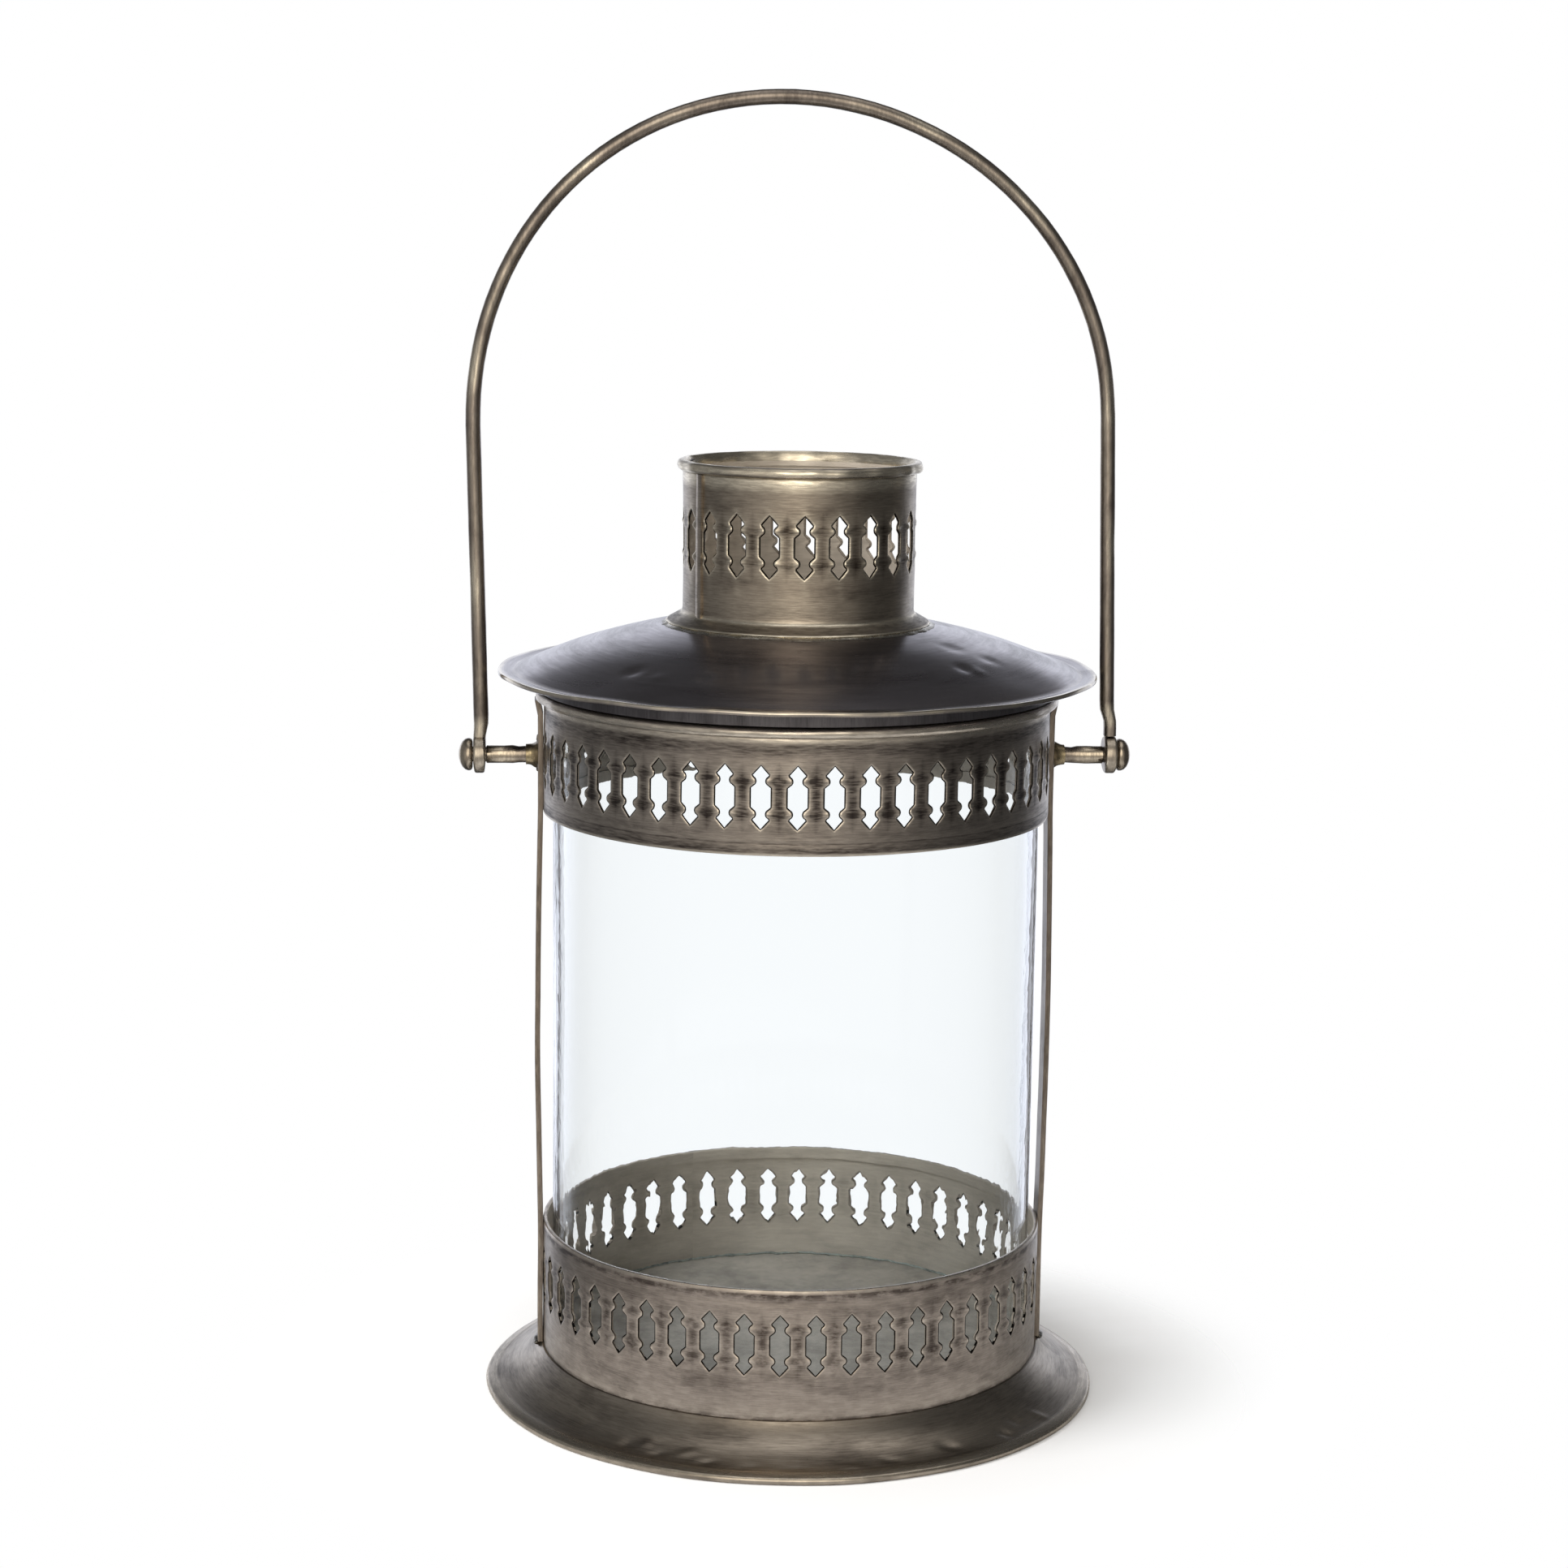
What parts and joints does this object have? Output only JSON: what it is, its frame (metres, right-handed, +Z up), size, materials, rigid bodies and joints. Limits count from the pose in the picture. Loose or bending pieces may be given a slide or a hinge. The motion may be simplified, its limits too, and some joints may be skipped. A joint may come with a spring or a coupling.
{
  "type": "punched tin lantern",
  "caption": "Round candle lantern: slotted tin bands on two uprights hold a glass cylinder under a domed lift-off lid with a chimney, carried by a swinging bail.",
  "frame": {"origin": "on the table, under the middle of the base", "axes": "+Z up along the lantern's axis; the bail's two pins lie along X; the bail swings about X, towards -Y and +Y"},
  "size_m": [0.2266, 0.2086, 0.4385],
  "materials": {
    "base_tin": "antiqued tin sheet, hand worked",
    "floor_tin": "mottled bare tin",
    "band_tin": "antiqued tin sheet, brushed along the band",
    "upright_tin": "antiqued flat bar",
    "lid_tin": "dark antiqued tin, satin",
    "collar_tin": "dark tin sheet",
    "rim_wire": "iron wire",
    "pin_steel": "antiqued steel, worn bright",
    "bail_steel": "antiqued round rod, forged ends",
    "solder": "dull solder",
    "braze": "aged braze",
    "clear_glass": "clear blown glass, faint streaks"
  },
  "bodies": {
    "cage": {"base_skirt": "base_tin", "floor_pan": "floor_tin", "lower_band": "band_tin", "upper_band": "band_tin", "upper_rim_wire": "rim_wire", "left_upright": "upright_tin", "right_upright": "upright_tin", "left_foot_solder": "solder", "right_foot_solder": "solder", "left_pivot_pin": "pin_steel", "right_pivot_pin": "pin_steel", "left_pin_braze": "braze", "right_pin_braze": "braze"},
    "glass": {"glass_cylinder": "clear_glass"},
    "lid": {"lid_roof": "lid_tin", "lid_collar": "collar_tin", "chimney": "band_tin", "chimney_rim_wire": "rim_wire", "chimney_solder": "solder"},
    "bail": {"bail": "bail_steel"}
  },
  "joints": [
    {"name": "bail_swing", "type": "hinge", "parent": "cage", "child": "bail", "pos_m": [0, 0, 0.2185], "axis": [1, 0, 0], "range_deg": [-150, 150]},
    {"name": "lid_lift", "type": "slide", "parent": "cage", "child": "lid", "axis": [0, 0, 1], "range_m": [0, 0.055]},
    {"name": "glass_lift", "type": "slide", "parent": "cage", "child": "glass", "axis": [0, 0, 1], "range_m": [0, 0.014]}
  ]
}
